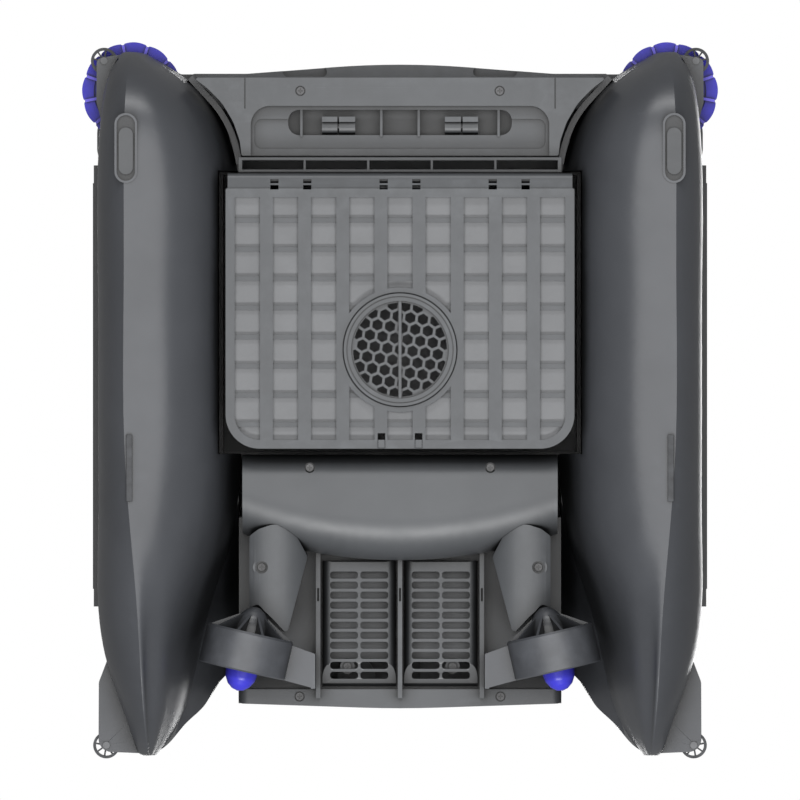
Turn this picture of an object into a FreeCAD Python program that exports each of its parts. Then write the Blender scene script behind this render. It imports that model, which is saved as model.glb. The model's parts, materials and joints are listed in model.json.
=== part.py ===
import FreeCAD, Part
import math
import os
import re

from FreeCAD import Placement, Rotation, Vector

# A solar surface skimmer for pools: two pontoons carry a deck between them, a debris basket
# stands in the well in the middle, paddle wheels turn at the front corners and ducted
# thrusters push at the rear.  Millimetres.  +Z is up, the bow faces -Y, the origin is on the
# ground under the middle of the whole machine.  Left is -X; right twins are mirror images.

DIMENSIONS = {
    # levels, from the ground up
    "keel_level": 1.5, "belly_level": 40, "flap_level": 30, "scoop_level": 50,
    "scoop_top": 72, "parting_level": 95, "bay_level": 95, "lip_level": 135,
    "rail_level": 160, "deck_top": 205, "lid_top": 212,
    # walls
    "hull_wall": 3, "basket_wall": 2.5,
    # pontoons
    "well_half_width": 123.8, "well_front": 156, "well_rear": 36.7,
    "hull_half_width": 107, "bay_half_width": 110, "transom": 206.7,
    "trim_offset": 205.7, "trim_thickness": 3.1, "trim_front": 160, "trim_rear": 140.8,
    # foot pads and skid strips
    "pad_length": 31.7, "pad_width": 9.6, "pad_centre": 168.6, "pad_offset": 185.6, "pad_height": 4.4,
    "recess_length": 44.4, "recess_width": 12.4, "recess_centre": 170.6, "rim_width": 1.5,
    "rim_level": 0.9,
    "strip_offset": 183.3, "strip_width": 4.1, "strip_front": 23.5, "strip_rear": 68.7,
    # paddle wheels and guide rollers
    "wheel_offset": 182.9, "wheel_forward": 210.1, "wheel_radius": 34, "wheel_bottom": 105,
    "wheel_height": 26, "wheel_hub": 8, "wheel_bore": 3, "blade_thickness": 1.9,
    "pocket_radius": 37, "pocket_bottom": 98, "pocket_top": 140,
    "roller_radius": 9, "roller_height": 7.5, "roller_bottom": 89.5, "pin_radius": 1.7,
    "front_roller_offset": 201.6, "front_roller_forward": 231,
    "rear_roller_offset": 199.9, "rear_roller_back": 235, "rear_roller_bottom": 79.5,
    # thrusters
    "duct_offset": 104.4, "duct_back": 170.7, "duct_level": 45, "duct_yaw": 13,
    "duct_radius": 30, "duct_bore": 26.6, "duct_length": 27, "stator_radius": 13,
    "propeller_radius": 25.4,
    "fairing_radius": 32, "fairing_offset": 86, "fairing_level": 77, "fairing_screw_level": 48.6,
    # basket and its bottom door
    "basket_half_width": 118.3, "basket_front": 152.2, "basket_rear": 33,
    "basket_corner": 23, "tub_top": 205, "mouth_bottom": 74, "mouth_top": 132,
    "window_pitch_x": 25.88, "window_width": 17.1, "window_pitch_y": 19.8,
    "window_length": 16.7, "hinge_forward": 149.4, "hinge_level": 37, "hinge_roll": 4.4,
    "hinge_pin_radius": 1.6, "filter_forward": 34.1, "filter_radius": 38.2,
    "filter_rim": 33.1, "hex_pitch": 8.6, "hex_across": 6.8,
    # front scoop
    "scoop_front": 219, "scoop_rear": 166, "scoop_half_width": 105.4, "pocket_half_width": 101.4,
    "pocket_front": 199.8, "slot_half_width": 76, "slot_front": 197.2, "slot_rear": 180,
    "lip_front": 223, "lip_apex": 231,
}

document = FreeCAD.newDocument("SurfaceSkimmer")
sheet = document.addObject("Spreadsheet::Sheet", "Dimensions")
for row, (alias, value) in enumerate(DIMENSIONS.items(), start=1):
    sheet.set(f"A{row}", alias)
    sheet.set(f"B{row}", str(value))
    sheet.setAlias(f"B{row}", alias)
document.recompute()

X_AXIS = Vector(1, 0, 0)
Y_AXIS = Vector(0, 1, 0)
Z_AXIS = Vector(0, 0, 1)
NODES = []


# ---------------------------------------------------------------- helpers

def dim(alias):
    """One driving dimension, read from the sheet."""
    return float(sheet.get(alias))


def formula(text):
    """A sheet expression from plain words such as 'wheel_radius - 2'."""
    return re.sub(r"[a-z][a-z_]+", lambda word: "Dimensions." + word.group(), str(text))


def bind(thing, **sizes):
    for name, text in sizes.items():
        thing.setExpression(name, formula(text))


def place(thing, x, y, z, rotation=None):
    """Bind the position to the sheet, with a fixed rotation."""
    if rotation:
        thing.Placement = Placement(Vector(), rotation)
    for axis, text in (("x", x), ("y", y), ("z", z)):
        thing.setExpression("Placement.Base." + axis, formula(text))


def box(name, x, y, z):
    """A block between pairs of expressions along each axis."""
    block = document.addObject("Part::Box", name)
    for size, (low, high) in zip(("Length", "Width", "Height"), (x, y, z)):
        bind(block, **{size: f"({high}) - ({low})"})
    place(block, x[0], y[0], z[0])
    return block


def cylinder(name, radius, height, at, axis=None):
    drum = document.addObject("Part::Cylinder", name)
    bind(drum, Radius=radius, Height=height)
    place(drum, *at, rotation=Rotation(Z_AXIS, axis) if axis else None)
    return drum


def cone(name, lower, upper, height, at, axis=None):
    part = document.addObject("Part::Cone", name)
    bind(part, Radius1=lower, Radius2=upper, Height=height)
    place(part, *at, rotation=Rotation(Z_AXIS, axis) if axis else None)
    return part


def fuse(name, *pieces):
    joined = document.addObject("Part::MultiFuse", name)
    joined.Shapes = list(pieces)
    return joined


def cut(name, base, *tools):
    tool = tools[0] if len(tools) == 1 else fuse(name + "_tools", *tools)
    result = document.addObject("Part::Cut", name)
    result.Base = base
    result.Tool = tool
    return result


def common(name, base, tool):
    result = document.addObject("Part::Common", name)
    result.Base = base
    result.Tool = tool
    return result


def compound(name, *pieces):
    group = document.addObject("Part::Compound", name)
    group.Links = list(pieces)
    return group


def mirrored(source, name):
    twin = document.addObject("Part::Mirroring", name)
    twin.Source = source
    twin.Normal = X_AXIS
    return twin


def shaped(name, shape):
    """A feature whose shape comes straight from Part's functions."""
    feature = document.addObject("Part::Feature", name)
    feature.Shape = shape
    return feature


def node(thing, label):
    thing.Label = label
    NODES.append(thing)
    return thing


def pair(thing, label):
    """A left piece and its mirrored right twin."""
    node(thing, "left_" + label)
    node(mirrored(thing, "right_" + label), "right_" + label)


def origin_plane(body, role):
    for feature in body.Origin.OriginFeatures:
        if feature.Role == role:
            return feature
    raise ValueError(role)


def outline(points):
    """Closed run of lines, with a tangent arc of radius r at each (x, y, r) corner."""
    corners = []
    for index, (x, y, radius) in enumerate(points):
        here = Vector(x, y, 0)
        before = Vector(*points[index - 1][:2], 0) - here
        after = Vector(*points[(index + 1) % len(points)][:2], 0) - here
        before.normalize()
        after.normalize()
        if radius == 0:
            corners.append((here, None, here))
            continue
        half = before.getAngle(after) / 2
        reach = radius / math.tan(half)
        middle = before + after
        middle.normalize()
        bulge = radius / math.sin(half) - radius
        corners.append((here + before * reach, here + middle * bulge, here + after * reach))
    edges = []
    for index, (start, middle, end) in enumerate(corners):
        if middle is not None:
            edges.append(Part.Arc(start, middle, end))
        following = corners[(index + 1) % len(corners)][0]
        if end.distanceToPoint(following) > 1e-6:
            edges.append(Part.LineSegment(end, following))
    return edges


def wire_of(edges, level=0):
    wire = Part.Wire([edge.toShape() for edge in edges])
    wire.translate(Vector(0, 0, level))
    return wire


def prism(points, low, high):
    """A plain upright solid over an outline."""
    face = Part.Face(wire_of(outline(points), low))
    return face.extrude(Vector(0, 0, high - low))


def plate(name, points, low, high):
    """A body padded upwards from a sketched outline between two levels."""
    body = document.addObject("PartDesign::Body", name)
    sketch = body.newObject("Sketcher::SketchObject", name + "_outline")
    sketch.AttachmentSupport = [(origin_plane(body, "XY_Plane"), "")]
    sketch.MapMode = "FlatFace"
    sketch.addGeometry(outline(points), False)
    pad = body.newObject("PartDesign::Pad", name + "_pad")
    pad.Profile = sketch
    bind(pad, Length=f"({high}) - ({low})")
    place(body, 0, 0, low)
    body.Tip = pad
    return body


def block(x0, x1, y0, y1, z0, z1):
    return Part.makeBox(x1 - x0, y1 - y0, z1 - z0, Vector(x0, y0, z0))


def rectangle(x0, x1, y0, y1, radius=0):
    return [(x0, y0, radius), (x1, y0, radius), (x1, y1, radius), (x0, y1, radius)]


# ---------------------------------------------------------------- pontoons

# Cross-sections of the left lower hull from bow to tail: y, outer edge, keel crease, inner edge,
# keel level, level of the inner knee, share of the breadth that stays nearly flat.
STATIONS = [
    (-237, -188.0, -184.0, -179.0, 78, 86, 0.10),
    (-233, -192.5, -184.5, -168.0, 55, 74, 0.14),
    (-225, -197.0, -185.0, -154.5, 33, 58, 0.20),
    (-212, -201.0, -185.6, -136.5, 15, 44, 0.27),
    (-195, -203.4, -186.5, -123.5, 5, 36, 0.34),
    (-166, -205.4, -187.0, -112.6, 1.5, 33, 0.38),
    (-80, -205.6, -187.0, -108.2, 1.5, 33, 0.38),
    (30, -205.4, -186.6, -108.2, 1.5, 33, 0.38),
    (90, -205.2, -182.5, -114.0, 1.5, 34, 0.28),
    (136, -205.0, -178.5, -128.0, 3, 37, 0.14),
    (178, -199.2, -176.0, -138.4, 8, 42, 0.08),
    (212, -188.2, -174.0, -147.2, 22, 52, 0.08),
    (234, -180.8, -172.2, -159.5, 46, 68, 0.10),
    (242, -175.5, -171.2, -166.0, 76, 86, 0.14),
]


def spline(points, y, start=None, end=None):
    """Smooth edge through (x, z) points, with end directions where they are given."""
    through = [Vector(x, y, z) for x, z in points]
    curve = Part.BSplineCurve()
    if start:
        curve.interpolate(Points=through, InitialTangent=start, FinalTangent=end)
    else:
        curve.interpolate(through)
    return curve.toShape()


def hull_section(station, inset, top):
    """One closed section: steep outer side, keel crease, nearly flat bottom, rising inner wall."""
    y, outer, keel, inner, low, knee, flat = station
    outer += inset
    inner -= inset
    low += inset
    knee += inset
    breadth = inner - keel
    slope = breadth * (1 - flat)
    outer_side = spline([(outer, top), (outer + 0.5, low + 0.5 * (top - low)),
                         (outer + 0.42 * (keel - outer), low + 0.15 * (top - low)), (keel, low)], y)
    shoulder = (inner - 0.20 * slope, knee + 0.35 * (top - knee))
    rise = Vector(inner - shoulder[0], 0, top - shoulder[1]).normalize()
    bottom = spline([(keel, low), (keel + breadth * flat, low + 0.1 * (knee - low)),
                     (inner - 0.75 * slope, low + 0.34 * (knee - low)),
                     (inner - 0.45 * slope, low + 0.86 * (knee - low)), shoulder, (inner, top)],
                    y, Vector(1, 0, 0.05), rise)
    deck_line = Part.LineSegment(Vector(inner, y, top), Vector(outer, y, top))
    return Part.Wire([outer_side, bottom, deck_line.toShape()])


def hull_loft(inset, top):
    stations = list(STATIONS)
    if inset > 0:
        stations = stations[1:-1]
    return Part.makeLoft([hull_section(station, inset, top) for station in stations], True)


def well_block(grow, low, high):
    """The left side of the basket well, as wide as the hull walls need it."""
    return block(-dim("well_half_width") - grow, -90, -dim("well_front") - grow,
                 dim("well_rear") + grow, low, high)


def capsule(length, width, x, y, low, high):
    """An upright solid with round ends along Y."""
    radius = width / 2
    half = length / 2 - radius
    ends = [Part.makeCylinder(radius, high - low, Vector(x, y + side * half, low)) for side in (-1, 1)]
    return block(x - radius, x + radius, y - half, y + half, low, high).fuse(ends).removeSplitter()


def front_roller_post(radius, low, high):
    at = Vector(-dim("front_roller_offset"), -dim("front_roller_forward"), low)
    return Part.makeCylinder(radius, high - low, at)


def paddle_post(radius, low, high):
    at = Vector(-dim("wheel_offset"), -dim("wheel_forward"), low)
    return Part.makeCylinder(radius, high - low, at)


def inset_curve(points, inset, count=16):
    """Smooth curve through the points, moved to its right-hand side by the inset."""
    curve = Part.BSplineCurve()
    curve.interpolate([Vector(x, y, 0) for x, y in points])
    if inset == 0:
        return curve
    first, last = curve.FirstParameter, curve.LastParameter
    moved = []
    for k in range(count):
        at = first + (last - first) * k / (count - 1)
        along = curve.tangent(at)[0]
        moved.append(curve.value(at) + Vector(along.y, -along.x, 0) * inset)
    shifted = Part.BSplineCurve()
    shifted.interpolate(moved)
    return shifted


def bow_bead():
    """Narrow ledge along the inner shoulder of the bow."""
    line = [(-144.5, -218.2), (-134, -206.8), (-124, -195), (-116.2, -180), (-111.6, -160.5)]
    edge = inset_curve(line, 0)
    back = inset_curve(line, 4)
    ends = [Part.LineSegment(edge.EndPoint, back.EndPoint), Part.LineSegment(back.StartPoint, edge.StartPoint)]
    face = Part.Face(wire_of([edge, ends[0], back, ends[1]], dim("parting_level") - 14))
    return face.extrude(Vector(0, 0, 14))


def pad_capsule(grow, low, high):
    return capsule(dim("recess_length") + grow, dim("recess_width") + grow, -dim("pad_offset"),
                   -dim("recess_centre"), low, high)


def pontoon_shell():
    wall = dim("hull_wall")
    top = dim("parting_level")
    pad_top = dim("pad_height")
    rim = pad_capsule(2 * dim("rim_width"), dim("rim_level"), pad_top + 6)
    boss = pad_capsule(2 * wall, -5, pad_top + wall)
    x0 = -dim("strip_offset") - dim("strip_width") / 2
    x1 = x0 + dim("strip_width")
    strip = block(x0, x1, dim("strip_front"), dim("strip_rear"), -1, 3.5)
    strip_boss = block(x0 - 4, x1 + 4, dim("strip_front") - 5, dim("strip_rear") + 5, -1, 8)
    cavity = hull_loft(wall, top + 1)
    cavity = cavity.cut([boss, strip_boss, well_block(wall, -1, top + 2),
                         front_roller_post(14, 60, top + 2)])
    shell = hull_loft(0, top).fuse([rim, bow_bead()])
    return shell.cut([well_block(0, -1, top + 1), front_roller_post(10.2, 60, top + 1)]).cut(
        [cavity, pad_capsule(0, -5, pad_top), strip])


pair(shaped("PontoonShell", pontoon_shell()), "pontoon_shell")


def side_outline(inset):
    """Deck-level outline of the left pontoon, flared inwards at the tail."""
    bow = inset_curve([(-110, -165), (-121.5, -191), (-133, -210), (-151, -223), (-166, -231.5),
                       (-180, -234.5), (-191, -231), (-197.5, -218), (-202, -200), (-205, -172)], inset)
    stern = inset_curve([(-205.2, 141), (-198.2, 180), (-180, 236), (-171.5, 240.5), (-163.5, 238.5),
                         (-146, 220.5), (-132.8, 207.6), (-125.2, 194.8), (-119, 188), (-112, 174),
                         (-110, 150)], inset)
    flank = Part.LineSegment(bow.EndPoint, stern.StartPoint)
    inner_side = Part.LineSegment(stern.EndPoint, bow.StartPoint)
    return Part.Face(Part.Wire([edge.toShape() for edge in (bow, flank, stern, inner_side)]))


def tail_wedge(shift):
    """Space under the flared tail, sloping up from the hull's edge to the rim."""
    along = Vector(-37, 136, 0)
    along.normalize()
    inwards = Vector(along.y, -along.x, 0)
    start = Vector(-107.6, 60, dim("parting_level") - 0.1) - inwards * shift
    reach = inwards * 50
    face = Part.Face(Part.makePolygon([start, start + reach, start + reach + Z_AXIS * 85, start]))
    return face.extrude(along * 215)


def pontoon_cover():
    wall = dim("hull_wall")
    low = dim("parting_level")
    top = dim("rail_level")
    body = side_outline(0)
    body.translate(Vector(0, 0, low))
    outer = body.extrude(Vector(0, 0, top - low))
    hollow = side_outline(wall)
    hollow.translate(Vector(0, 0, low + wall))
    cavity = hollow.extrude(Vector(0, 0, top - low))
    pocket = paddle_post(dim("pocket_radius"), dim("pocket_bottom"), dim("pocket_top"))
    chamber = paddle_post(dim("pocket_radius") + wall, low - 1, dim("pocket_top") + wall)
    shaft_hole = paddle_post(dim("wheel_bore") + 0.4, dim("pocket_top") - 1, top)
    cavity = cavity.cut([well_block(wall, low - 1, top + 2), chamber, tail_wedge(wall + 0.5)])
    return outer.cut([well_block(0, low - 1, top + 1), cavity, pocket, shaft_hole, tail_wedge(0),
                      front_roller_post(10.2, low - 1, dim("pocket_bottom") + 1)])


pair(shaped("PontoonCover", pontoon_cover()), "pontoon_cover")


def side_trim():
    """Long bumper strip clipped to the flank, with chamfered ends."""
    outer = "-trim_offset - trim_thickness"
    strip = box("TrimStrip", (outer, "-trim_offset"), ("-trim_front", "trim_rear"), (100, 116))
    rub = cylinder("TrimRib", 1.2, "trim_front + trim_rear - 24",
                   (f"{outer} + 0.5", "12 - trim_front", 108), Y_AXIS)
    return fuse("SideTrim", strip, rub)


pair(side_trim(), "side_trim")


def foot_pad():
    body = document.addObject("Part::Feature", "FootPad")
    body.Shape = capsule(dim("pad_length"), dim("pad_width"), -dim("pad_offset"),
                         -dim("pad_centre"), 0, dim("pad_height"))
    return body


pair(foot_pad(), "foot_pad")
skid_strip = box("SkidStrip", ("-strip_offset - strip_width / 2", "-strip_offset + strip_width / 2"),
                 ("strip_front", "strip_rear"), (0, 3.5))
node(compound("SkidStripSet", skid_strip, mirrored(skid_strip, "SkidStripTwin")), "skid_strips")


# ---------------------------------------------------------------- deck

DECK_HALF = [(-205.6, 140, 60), (-200.4, 180, 30), (-181, 237, 8), (-163.8, 238.8, 8),
             (-146, 220.5, 20), (-132.6, 207.4, 20), (-121, 189, 6), (-109.5, 187, 4), (-109.3, 206.9, 8)]
DECK_BOW = [(-104.4, -223, 20), (-150, -223, 20), (-176, -228, 12), (-199, -209, 20),
            (-207.4, -186, 20), (-207.4, -171, 9), (-205.6, -162, 9)]


def deck_points(inset):
    """Whole deck outline: the left half and its mirror image, moved inwards by the inset."""
    half = [(0, -231, 600)] + DECK_BOW + DECK_HALF
    right = [(-x, y, radius) for x, y, radius in reversed(half[1:])]
    return half + [(0, 210.8, 900)] + right


def deck_face(inset, level):
    face = Part.Face(wire_of(outline(deck_points(0)), level))
    if inset:
        face = Part.Face(face.OuterWire.makeOffset2D(-inset))
    return face


def deck_cover():
    wall = dim("hull_wall")
    low = dim("rail_level")
    top = dim("deck_top")
    height = top - low
    outer = deck_face(0, low).extrude(Vector(0, 0, height - 9))
    crown = Part.makeLoft([deck_face(inset, top - drop).OuterWire
                           for inset, drop in ((0, 9), (1.2, 5), (3.4, 2), (6.5, 0))], True)
    outer = outer.fuse(crown)
    hollow = deck_face(wall, low - 1).extrude(Vector(0, 0, height - 11))
    attic = deck_face(7.5, low).extrude(Vector(0, 0, height - wall - 2))
    well = block(-121, 121, -154, 35.5, low - 2, top + 2)
    rim = block(-124, 124, -157, 38.5, low - 2, top + 2)
    side = block(-199, -134, -150, 150, top - 1.6, top + 2)
    rear = block(-98, 98, 52, 176, top - 1.6, top + 2)
    panels = [side, side.mirror(Vector(), X_AXIS), rear]
    button = Part.makeCylinder(9.4, 30, Vector(-30, 190, top - 13.5))
    socket = block(18, 46, 183, 197, top - 14, top + 2)
    pads = [Part.makeCylinder(13, 16, Vector(-30, 190, top - 18)), block(14, 50, 179, 201, top - 20, top)]
    cavity = hollow.fuse(attic).cut([rim] + pads)
    return outer.cut([cavity, well, button, socket] + panels)


node(shaped("DeckCover", deck_cover()), "deck_cover")


def solar_panel(name, x, y):
    """A framed sheet of cells lying in its tray in the deck."""
    return box(name, x, y, ("deck_top - 1.6", "deck_top + 0.4"))


side_panel = solar_panel("SolarLeft", (-198.6, -134.4), (-149.6, 149.6))
node(compound("SideSolarSet", side_panel, mirrored(side_panel, "SolarRight")), "side_solar_panels")
node(solar_panel("SolarRear", (-97.6, 97.6), (52.4, 175.6)), "rear_solar_panel")


def front_lip():
    """Arched bumper beam over the mouth, with two shallow finger scoops below."""
    half = [(0, -231, 600), (-104.4, -223, 20), (-146, -223, 2), (-130.5, -210.5, 12), (-123.5, -199, 2)]
    right = [(-x, y, radius) for x, y, radius in reversed(half[1:])]
    low = dim("lip_level")
    beam = prism(half + right, low, dim("rail_level"))
    hollow = prism(rectangle(-116, 116, -218, -202, 3), low + 3, dim("rail_level") + 1)
    scoops = [prism(rectangle(x - 15, x + 15, -227.5, -221, 3), low - 1, low + 5) for x in (-65, 65)]
    return beam.cut([hollow] + scoops)


node(shaped("FrontLip", front_lip()), "front_lip")


# Screws of the underside: x, y and the surface they are let into.
SCREWS = [(67.7, -210, dim("scoop_level")), (61.3, 46, dim("belly_level") + 2.4),
          (35.8, 181.6, dim("bay_level")), (68.4, 201.9, dim("bay_level") - 11),
          (94, 113.6, dim("fairing_screw_level"))]


def screw_seats(level):
    """Counterbored holes for the screws let into one surface."""
    seats = []
    for x, y, surface in SCREWS:
        for side in (-1, 1):
            if surface == level:
                at = Vector(side * x, y, level)
                seats.append(Part.makeCylinder(3.5, 6.6, at - Z_AXIS * 5))
                seats.append(Part.makeCylinder(1.4, 4, at))
    return seats


# ---------------------------------------------------------------- centre hull and rear bay

def belly_plan(inset, low, high):
    """Plan of the belly housing: straight sides and a rear wall bowed towards the stern."""
    side = dim("hull_half_width") - inset
    front = dim("well_rear") + 0.7 + inset
    middle = 109 - inset
    edge = 91 - inset
    rear = Part.Arc(Vector(side, edge, 0), Vector(0, middle, 0), Vector(-side, edge, 0))
    lines = [Part.LineSegment(Vector(-side, edge, 0), Vector(-side, front, 0)),
             Part.LineSegment(Vector(-side, front, 0), Vector(side, front, 0)),
             Part.LineSegment(Vector(side, front, 0), Vector(side, edge, 0))]
    face = Part.Face(wire_of(lines + [rear], low))
    return face.extrude(Vector(0, 0, high - low))


def round_lower_edges(solid, level, rear_radius, front_radius):
    """Round the bowed rear edge into the ramp to the bay, and the front edge at the well."""
    edges = [edge for edge in solid.Edges
             if abs(edge.BoundBox.ZMax - level) < 0.01 and edge.BoundBox.ZLength < 0.01
             and edge.BoundBox.XLength > 100]
    edges.sort(key=lambda edge: edge.BoundBox.YMax)
    rounded = solid.makeFillet(front_radius, edges[:1])
    rear = [edge for edge in rounded.Edges
            if abs(edge.BoundBox.ZMax - level) < 0.01 and edge.BoundBox.ZLength < 0.01
            and edge.BoundBox.YMin > 80 and edge.BoundBox.XLength > 100]
    return rounded.makeFillet(rear_radius, rear)


def rounded_bar(half, radius, y0, y1, low, high):
    """A bar along Y whose two lower edges are rounded."""
    section = outline([(-half, low, radius), (half, low, radius), (half, high, 0), (-half, high, 0)])
    face = Part.Face(wire_of(section))
    face.rotate(Vector(), X_AXIS, 90)
    face.translate(Vector(0, y0, 0))
    return face.extrude(Vector(0, y1 - y0, 0))


def center_hull():
    wall = dim("hull_wall")
    low = dim("belly_level")
    bay = dim("bay_level")
    top = dim("rail_level")
    side = dim("bay_half_width")
    front = dim("well_rear") + 0.7
    belly = round_lower_edges(belly_plan(0, low, top), low, 30, 15)
    bay_box = block(-side, side, 80, dim("transom"), bay, top)
    lip_plan = prism([(-side, 197, 0), (side, 197, 0), (side, 206.7, 3), (0, 210.4, 800), (-side, 206.7, 3)],
                     bay - 11, bay + 14)
    lip = lip_plan.common(rounded_bar(side, 7, 190, 212, bay - 11, bay + 30))
    ribs = [block(x - 1.5, x + 1.5, 100, 203, bay - 20, bay) for x in (-55.7, 0, 55.7)]
    notches = [block(x - 0.7, x + 0.7, 128, 137, bay - 21, bay - 12) for x in (-55.7, 0, 55.7)]
    outer = belly.fuse([bay_box, lip] + ribs)
    belly_room = round_lower_edges(belly_plan(wall, low + wall, top + 1), low + wall, 27, 12)
    bay_room = block(-side + wall, side - wall, 82, dim("transom") - wall, bay + wall, top + 1)
    vents = [block(side_x * 27.6 - 20, side_x * 27.6 + 20, 176, 193, bay - 1, bay + wall + 1).cut(
                Part.makeCylinder(5, 12, Vector(side_x * 35.8, 181.6, bay - 5))) for side_x in (-1, 1)]
    tails = side_outline(-0.3).extrude(Vector(0, 0, 300))
    seats = screw_seats(low + 2.4) + screw_seats(bay) + screw_seats(bay - 11)
    twins = [tails, tails.mirror(Vector(), X_AXIS)]
    return outer.cut([belly_room.fuse(bay_room)] + twins + notches + vents + seats)


node(shaped("CenterHull", center_hull()), "center_hull")


def side_profile(points, x0, x1):
    """A solid over (y, z) points, as wide as the given run along X."""
    face = Part.Face(wire_of(outline(points)))
    turned = face.transformGeometry(FreeCAD.Matrix(0, 0, 1, 0, 1, 0, 0, 0, 0, 1, 0, 0, 0, 0, 0, 1))
    solid = turned.extrude(Vector(x1 - x0, 0, 0))
    solid.translate(Vector(x0, 0, 0))
    return solid


def grille_body(inset):
    """Tray with rounded long edges, bent up at the rear."""
    profile = [(109.5 + inset, 80 + inset, 1), (179, 80 + inset, 4), (197, 91 + inset, 0), (197, 96, 0),
               (109.5 + inset, 96, 0)]
    bar = rounded_bar(25 - inset, 6.5 - inset, 100, 200, 80 + inset, 100)
    bar.translate(Vector(-27.8, 0, 0))
    return side_profile(profile, -60, 0).common(bar)


def rear_grille():
    """Vent cover with two columns of eleven slots."""
    wall = 2.4
    body = grille_body(0).cut(grille_body(wall))
    body = body.cut([block(-60, 0, 100, 200, 94.8, 100), block(-60, 0, 195, 200, 85, 100)])
    slots = []
    for row in range(11):
        y = 119.2 + 6.83 * row
        for x in (-38.1, -17.5):
            slots.append(prism(rectangle(x - 9.5, x + 9.5, y - 2.45, y + 2.45, 2.0), 70, 100))
    return body.cut(slots)


pair(shaped("RearGrille", rear_grille()), "rear_grille")


# ---------------------------------------------------------------- front scoop and mouth

def front_scoop():
    """Flat lower lip of the mouth, with a long round-ended pocket and a deeper slot inside."""
    low = dim("scoop_level")
    top = dim("scoop_top")
    front = -dim("scoop_front")
    rear = -dim("scoop_rear")
    half = [(0, front, 0), (-140.5, front, 1), (-130.6, -211.6, 30), (-120.6, -201.4, 30),
            (-113, -188.4, 30), (-108.8, -176, 20), (-107.6, rear, 1)]
    right = [(-x, y, radius) for x, y, radius in reversed(half[1:])]
    body = prism(half[1:] + right, low, top)
    edge = dim("pocket_half_width")
    pocket = prism([(-edge, -dim("pocket_front"), 13), (edge, -dim("pocket_front"), 13),
                    (edge, rear + 1, 0), (-edge, rear + 1, 0)], low - 1, low + 5)
    step = prism(rectangle(-98.9, 98.9, -191, -170.7, 5), low - 1, low + 7)
    slot_edge = dim("slot_half_width")
    slot = prism(rectangle(-slot_edge, slot_edge, -dim("slot_front"), -dim("slot_rear"), 7.5),
                 low - 1, low + 18)
    ribs = [block(x - 0.8, x + 0.8, -198, -179, low + 6, low + 18.5)
            for x in (-67, -12.7, 12.7, 67)]
    seams = [block(x - 0.5, x + 0.5, front - 1, -198, low - 1, low + 1)
             for x in (-dim("scoop_half_width"), dim("scoop_half_width"))]
    shells = hull_loft(-0.4, dim("parting_level"))
    tools = [pocket, step, slot, shells, shells.mirror(Vector(), X_AXIS)]
    return body.cut(tools + seams + screw_seats(low)).fuse(ribs)


node(shaped("FrontScoop", front_scoop()), "front_scoop")


def sensor_barrels():
    """Two ultrasonic range finders, each a split barrel in the slot."""
    barrels = []
    for side in (-1, 1):
        for x0, x1 in ((30.5, 41.4), (42.6, 53)):
            low, high = sorted((side * x0, side * x1))
            barrel = Part.makeCylinder(6, high - low, Vector(low, -186.5, dim("scoop_level") + 11.8), X_AXIS)
            barrels.append(barrel.fuse(block(low, high, -192.5, -189, 53, 62)))
        x = side * 42
        barrels.append(Part.makeCylinder(3, 1.1, Vector(x - 0.55, -186.5, 61.8), X_AXIS))
    return Part.makeCompound(barrels)


node(shaped("RangeFinders", sensor_barrels()), "range_finders")


def mouth_grate():
    """Five-cell frame that closes the gap between the scoop and the basket."""
    low = dim("scoop_level") - 2
    frame = block(-110, 110, -164.9, -154.4, low, low + 12)
    cells = [block(43.2 * k - 20.6, 43.2 * k + 20.6, -162.6, -156.6, low - 1, low + 13)
             for k in range(-2, 3)]
    ends = [block(side * 108.9 - 5, side * 108.9 + 5, -170, -150, low - 1, low) for side in (-1, 1)]
    return frame.cut(cells + ends)


node(shaped("MouthGrate", mouth_grate()), "mouth_grate")


# ---------------------------------------------------------------- thrusters

DUCT_ANGLE = math.radians(dim("duct_yaw"))
DUCT_AXIS = Vector(-math.sin(DUCT_ANGLE), math.cos(DUCT_ANGLE), 0)
DUCT_TURN = Rotation(Z_AXIS, DUCT_AXIS)


def along_duct(distance):
    """A point on the left duct's axis, measured rearwards from the ring's middle."""
    centre = Vector(-dim("duct_offset"), dim("duct_back"), dim("duct_level"))
    return centre + DUCT_AXIS * distance


def turned_about_duct(profile):
    """A solid of revolution about the duct axis from (distance, radius) points."""
    points = [along_duct(distance) + Z_AXIS * radius for distance, radius in profile]
    face = Part.Face(Part.makePolygon(points + points[:1]))
    return face.revolve(along_duct(0), DUCT_AXIS, 360)


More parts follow.
